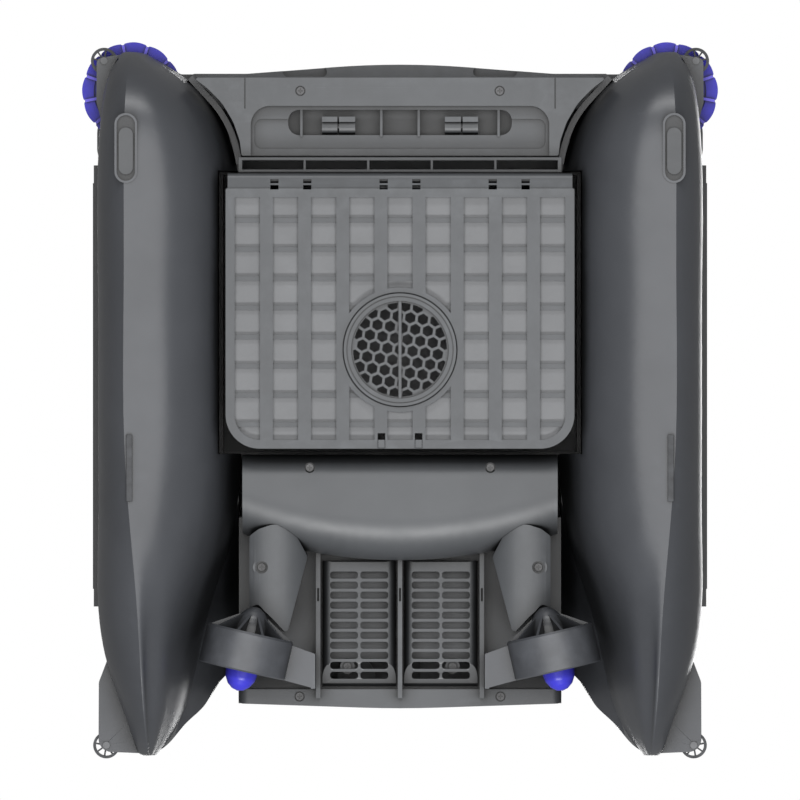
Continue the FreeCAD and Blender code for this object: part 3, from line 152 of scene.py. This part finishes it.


def moulded_plastic(name, colour, roughness=0.42, grain=1400, variation=0.10, wear=0.35,
                    specular=0.5, ribs=None):
    """Moulded plastic: fine spark-eroded grain, faint flow mottling, worn edges, and painted shade
    in crevices.

    ribs is the level below which the ribs get a lighter colour as a painted highlight, and that
    colour.
    """
    recipe = Recipe(name)
    mottle = recipe.noise(14, 5)
    base = recipe.ramp(mottle, [(0.3, shade(colour, 1 - variation)),
                                (0.7, shade(colour, 1 + variation))])
    base = edge_wear(recipe, base, shade(colour, 2.1), wear)
    # Painted highlight: the ribs below the level take a lighter colour.
    if ribs:
        level, rib_highlight_colour = ribs
        height = recipe.add("ShaderNodeSeparateXYZ")
        recipe.link(recipe.place, height.inputs["Vector"])
        edge = recipe.add("ShaderNodeMapRange")
        edge.inputs["From Min"].default_value = level
        edge.inputs["From Max"].default_value = level - RIB_HIGHLIGHT_FADE
        recipe.link(height.outputs["Z"], edge.inputs["Value"])
        base = recipe.mix(edge.outputs["Result"], base, rib_highlight_colour)
    # Painted shade: the colour is darkened in gaps and deep bays.
    base = painted_crevice_shade(recipe, base)
    recipe.link(base, recipe.shader.inputs["Base Color"])
    rough = recipe.spread(recipe.noise(35, 6, 0.7), roughness - 0.07, roughness + 0.07)
    recipe.link(rough, recipe.shader.inputs["Roughness"])
    recipe.shader.inputs["Specular IOR Level"].default_value = specular
    recipe.bump([(recipe.noise(grain, 2), 0.5, GRAIN_DEPTH), (recipe.noise(60, 3), 0.15, 0.0002)])
    return recipe.material


def rubber(name, colour):
    """Matt rubber with dust in its pores and paler edges."""
    recipe = Recipe(name)
    dust = recipe.noise(180, 6, 0.7)
    base = recipe.ramp(dust, [(0.35, colour), (0.75, shade(colour, 1.9))])
    recipe.link(edge_wear(recipe, base, shade(colour, 3), 0.5), recipe.shader.inputs["Base Color"])
    recipe.link(recipe.spread(dust, 0.62, 0.85), recipe.shader.inputs["Roughness"])
    recipe.bump([(recipe.noise(900, 3), 0.6, 0.00006)])
    return recipe.material


def screen_film(name, colour):
    """Fine woven film: crossed threads at half a millimetre."""
    recipe = Recipe(name)
    threads = []
    for axis in ("X", "Y"):
        wave = recipe.add("ShaderNodeTexWave", wave_type="BANDS", bands_direction=axis)
        wave.inputs["Scale"].default_value = 620
        wave.inputs["Distortion"].default_value = 0.4
        recipe.link(recipe.place, wave.inputs["Vector"])
        threads.append(wave.outputs["Fac"])
    weave = recipe.add("ShaderNodeMath", operation="MAXIMUM")
    for index, thread in enumerate(threads):
        recipe.link(thread, weave.inputs[index])
    haze = recipe.ramp(recipe.noise(22, 3), [(0.3, shade(colour, 0.88)),
                                             (0.7, shade(colour, 1.1))])
    base = recipe.mix(weave.outputs["Value"], shade(colour, 0.8), haze)
    recipe.link(base, recipe.shader.inputs["Base Color"])
    recipe.link(recipe.spread(recipe.noise(50), 0.45, 0.65), recipe.shader.inputs["Roughness"])
    recipe.bump([(weave.outputs["Value"], 0.4, 0.00008)])
    return recipe.material


def solar_cells(name):
    """Dark blue cells in a grid with thin silver bus lines, under clear laminate."""
    recipe = Recipe(name)
    brick = recipe.add("ShaderNodeTexBrick", offset=0.0)
    brick.inputs["Color1"].default_value = (0.006, 0.009, 0.030, 1)
    brick.inputs["Color2"].default_value = (0.009, 0.013, 0.042, 1)
    brick.inputs["Mortar"].default_value = (0.20, 0.21, 0.23, 1)
    brick.inputs["Scale"].default_value = 1.0
    brick.inputs["Brick Width"].default_value = 0.0325
    brick.inputs["Row Height"].default_value = 0.050
    brick.inputs["Mortar Size"].default_value = 0.0006
    recipe.link(recipe.place, brick.inputs["Vector"])
    fingers = recipe.add("ShaderNodeTexWave", wave_type="BANDS", bands_direction="Y")
    fingers.inputs["Scale"].default_value = 170
    recipe.link(recipe.place, fingers.inputs["Vector"])
    lines = recipe.ramp(fingers.outputs["Fac"], [(0.90, (0, 0, 0)), (0.97, (0.25, 0.25, 0.25))])
    base = recipe.mix(lines, brick.outputs["Color"], (0.16, 0.17, 0.20))
    recipe.link(base, recipe.shader.inputs["Base Color"])
    recipe.link(recipe.spread(recipe.noise(40), 0.16, 0.30), recipe.shader.inputs["Roughness"])
    recipe.shader.inputs["Coat Weight"].default_value = 0.8
    recipe.shader.inputs["Coat Roughness"].default_value = 0.08
    recipe.bump([(recipe.noise(25, 2), 0.1, 0.0003)])
    return recipe.material


def steel(name):
    """Drawn stainless steel with fine streaks."""
    recipe = Recipe(name)
    recipe.shader.inputs["Metallic"].default_value = 1.0
    streaks = recipe.noise(260, 6, 0.7)
    base = recipe.ramp(streaks, [(0.3, (0.42, 0.42, 0.43)), (0.7, (0.60, 0.60, 0.61))])
    recipe.link(base, recipe.shader.inputs["Base Color"])
    recipe.link(recipe.spread(streaks, 0.25, 0.42), recipe.shader.inputs["Roughness"])
    recipe.bump([(streaks, 0.3, 0.00004)])
    return recipe.material


def light_window(name):
    """Pale, slightly hazy cover of the status light."""
    recipe = Recipe(name)
    haze = recipe.noise(120, 3)
    base = recipe.ramp(haze, [(0.3, (0.62, 0.70, 0.76)), (0.7, (0.74, 0.82, 0.88))])
    recipe.link(base, recipe.shader.inputs["Base Color"])
    recipe.link(recipe.spread(haze, 0.12, 0.25), recipe.shader.inputs["Roughness"])
    recipe.bump([(haze, 0.1, 0.0001)])
    return recipe.material


WHEEL_RIB_HIGHLIGHT_LEVEL = 0.1058     # metres: below this level only the paddle wheels' ribs get the painted highlight colour

MATERIALS = {
    "hull": moulded_plastic("hull_plastic", (0.040, 0.0425, 0.048), roughness=0.40),
    "panel": moulded_plastic("panel_plastic", (0.044, 0.047, 0.051), roughness=0.46, grain=900),
    "dark_plastic": moulded_plastic("dark_plastic", (0.022, 0.023, 0.026), roughness=0.48),
    "blue": moulded_plastic("blue_plastic", (0.036, 0.034, 0.42), roughness=0.34, wear=0.2,
                            variation=0.06, specular=0.25),
    "door": moulded_plastic("door_plastic", (0.043, 0.046, 0.050), roughness=0.45, grain=1100),
    "screen": screen_film("screen_film", (0.112, 0.115, 0.120)),
    "pad": rubber("pad_rubber", (0.022, 0.023, 0.025)),
    "solar": solar_cells("solar_cells"),
    "metal": steel("stainless_steel"),
    # Paddle wheels: their ribs get a painted highlight colour.
    "blue_wheel": moulded_plastic("blue_wheel", (0.042, 0.036, 0.46), roughness=0.38, wear=0.2,
                                  variation=0.06, specular=0.2,
                                  ribs=(WHEEL_RIB_HIGHLIGHT_LEVEL, (0.18, 0.15, 0.85))),
    "grey_rubber": moulded_plastic("grey_rubber", (0.047, 0.049, 0.052), roughness=0.6, grain=700),
    "black_oxide": moulded_plastic("black_oxide", (0.030, 0.030, 0.032), roughness=0.35, wear=1.2),
    "grey_pin": moulded_plastic("grey_pin", (0.075, 0.077, 0.082), roughness=0.4),
    "battery": moulded_plastic("cell_wrap", (0.02, 0.07, 0.03), roughness=0.35),
    "board": moulded_plastic("solder_mask", (0.01, 0.09, 0.035), roughness=0.3, wear=0.1),
    "lens": light_window("light_window"),
}

# Nodes whose surface differs from the rest of their material slot.
FINISH = {
    "left_foot_pad": "grey_rubber", "right_foot_pad": "grey_rubber",
    "left_paddle_wheel": "blue_wheel", "right_paddle_wheel": "blue_wheel",
    "hull_screws": "black_oxide", "basket_hinge_pins": "black_oxide",
    "roller_pins": "grey_pin",
}

# Edge radii in millimetres, of the nodes whose edges catch the light.
ROUNDED = {
    "bottom_door": 0.45, "center_hull": 0.6, "front_scoop": 0.6, "mouth_grate": 0.4,
    "front_lip": 0.7, "filter_cap": 0.4, "skid_strips": 0.5,
    "left_rear_grille": 0.35, "right_rear_grille": 0.35,
    "left_side_trim": 0.6, "right_side_trim": 0.6,
    "left_foot_pad": 0.8, "right_foot_pad": 0.8,
    "left_thruster_cover": 0.6, "right_thruster_cover": 0.6,
    "left_front_roller_bracket": 0.5, "right_front_roller_bracket": 0.5,
    "left_rear_roller_bracket": 0.5, "right_rear_roller_bracket": 0.5,
}

WELD_DISTANCE = 0.00001      # metres
BEVEL_ANGLE = math.radians(40)
CREASE_ANGLE = math.radians(32)


def dress(node, name):
    """Give one CAD node its material and smooth faces, with rounded or sharp edges."""
    node.data.materials.clear()
    node.data.materials.append(MATERIALS[FINISH.get(name, SLOT_OF[name])])
    node.data.shade_smooth()
    weld = node.modifiers.new("weld", "WELD")
    weld.merge_threshold = WELD_DISTANCE
    if name in ROUNDED:
        bevel = node.modifiers.new("edge_radius", "BEVEL")
        bevel.width = ROUNDED[name] * MM
        bevel.segments = 2
        bevel.limit_method = "ANGLE"
        bevel.angle_limit = BEVEL_ANGLE
        bevel.use_clamp_overlap = True
        weighted = node.modifiers.new("flat_faces", "WEIGHTED_NORMAL")
        weighted.weight = 100
    else:
        split = node.modifiers.new("crease", "EDGE_SPLIT")
        split.split_angle = CREASE_ANGLE


for node_name, node_object in NODES.items():
    dress(node_object, node_name)


# ---------------------------------------------------------------- studio

low_corner, high_corner = CAD_BOX
CENTRE = (Vector(low_corner) + Vector(high_corner)) / 2
PICTURE_LEVEL = CENTRE.z * 0.6         # height in metres of the underside's main faces
PICTURE_WIDTH = 0.544        # metres, at that level
LENS = 900.0                 # millimetres, as is the sensor
SENSOR = 36.0
CLIP_END = 500.0
FLOOR_HALF = 6.0             # metres from the middle to each side
FLOOR_DROP = 0.0002          # keeps the floor clear of the pads
BACKDROP_LIGHT = 0.28        # strength of the white backdrop as a light
LIGHT_AIM = (0.0, 0.0, 0.08)

# Place in metres, width and depth in metres, power in watts.
LIGHTS = {
    "key_below": ((0.0, -0.2, -2.4), (3.0, 1.6), 58),
    "rear_below": ((0.0, 2.0, -1.9), (1.6, 0.4), 80),
    "front_below": ((0.0, -2.3, -1.4), (1.6, 0.5), 36),
    "overhead": ((0.3, 0.0, 3.2), (1.6, 1.6), 60),
}


def add_camera():
    """Long lens straight below the machine, bow at the top of the picture."""
    data = bpy.data.cameras.new("camera")
    data.lens = LENS
    data.sensor_width = SENSOR
    data.clip_end = CLIP_END
    camera = bpy.data.objects.new("camera", data)
    distance = LENS * PICTURE_WIDTH / SENSOR
    camera.location = (0.0, 0.0, PICTURE_LEVEL - distance)
    camera.rotation_euler = (math.pi, 0.0, 0.0)
    bpy.context.scene.collection.objects.link(camera)
    bpy.context.scene.camera = camera


def add_light(name, place, size, power):
    data = bpy.data.lights.new(name, "AREA")
    data.shape = "RECTANGLE"
    data.size, data.size_y = size
    data.energy = power
    lamp = bpy.data.objects.new(name, data)
    lamp.location = place
    direction = Vector(LIGHT_AIM) - Vector(place)
    lamp.rotation_euler = direction.to_track_quat("-Z", "Y").to_euler()
    lamp.visible_camera = False
    bpy.context.scene.collection.objects.link(lamp)


def add_floor():
    """Pale floor seen only from above: from below it is clear, and it blocks no light."""
    mesh = bpy.data.meshes.new("floor")
    signs = ((-1, -1), (1, -1), (1, 1), (-1, 1))
    corners = [(x * FLOOR_HALF, y * FLOOR_HALF, -FLOOR_DROP) for x, y in signs]
    mesh.from_pydata(corners, [], [(0, 1, 2, 3)])
    floor = bpy.data.objects.new("floor", mesh)
    bpy.context.scene.collection.objects.link(floor)
    recipe = Recipe("floor_paint")
    tone = recipe.ramp(recipe.noise(3, 2), [(0.3, (0.76, 0.76, 0.76)), (0.7, (0.80, 0.80, 0.80))])
    recipe.link(tone, recipe.shader.inputs["Base Color"])
    recipe.shader.inputs["Roughness"].default_value = 0.7
    clear = recipe.add("ShaderNodeBsdfTransparent")
    back = recipe.add("ShaderNodeNewGeometry").outputs["Backfacing"]
    either = recipe.add("ShaderNodeMixShader")
    recipe.link(back, either.inputs["Fac"])
    recipe.link(recipe.shader.outputs["BSDF"], either.inputs[1])
    recipe.link(clear.outputs["BSDF"], either.inputs[2])
    recipe.link(either.outputs["Shader"], recipe.tree.nodes["Material Output"].inputs["Surface"])
    mesh.materials.append(recipe.material)
    floor.visible_diffuse = False
    floor.visible_glossy = False
    floor.visible_transmission = False
    floor.visible_shadow = False


def add_world():
    """White backdrop, dimmer as a light source so that the softboxes model the shapes."""
    world = bpy.data.worlds.new("studio")
    world.use_nodes = True
    nodes = world.node_tree.nodes
    links = world.node_tree.links
    background = nodes["Background"]
    background.inputs["Color"].default_value = (1.0, 1.0, 1.0, 1.0)
    seen = nodes.new("ShaderNodeLightPath").outputs["Is Camera Ray"]
    strength = nodes.new("ShaderNodeMapRange")
    strength.inputs["To Min"].default_value = BACKDROP_LIGHT
    strength.inputs["To Max"].default_value = 1.0
    links.new(seen, strength.inputs["Value"])
    links.new(strength.outputs["Result"], background.inputs["Strength"])
    bpy.context.scene.world = world
    bpy.context.scene.view_settings.view_transform = "Standard"


add_camera()
add_floor()
add_world()
for light_name, light_settings in LIGHTS.items():
    add_light(light_name, *light_settings)
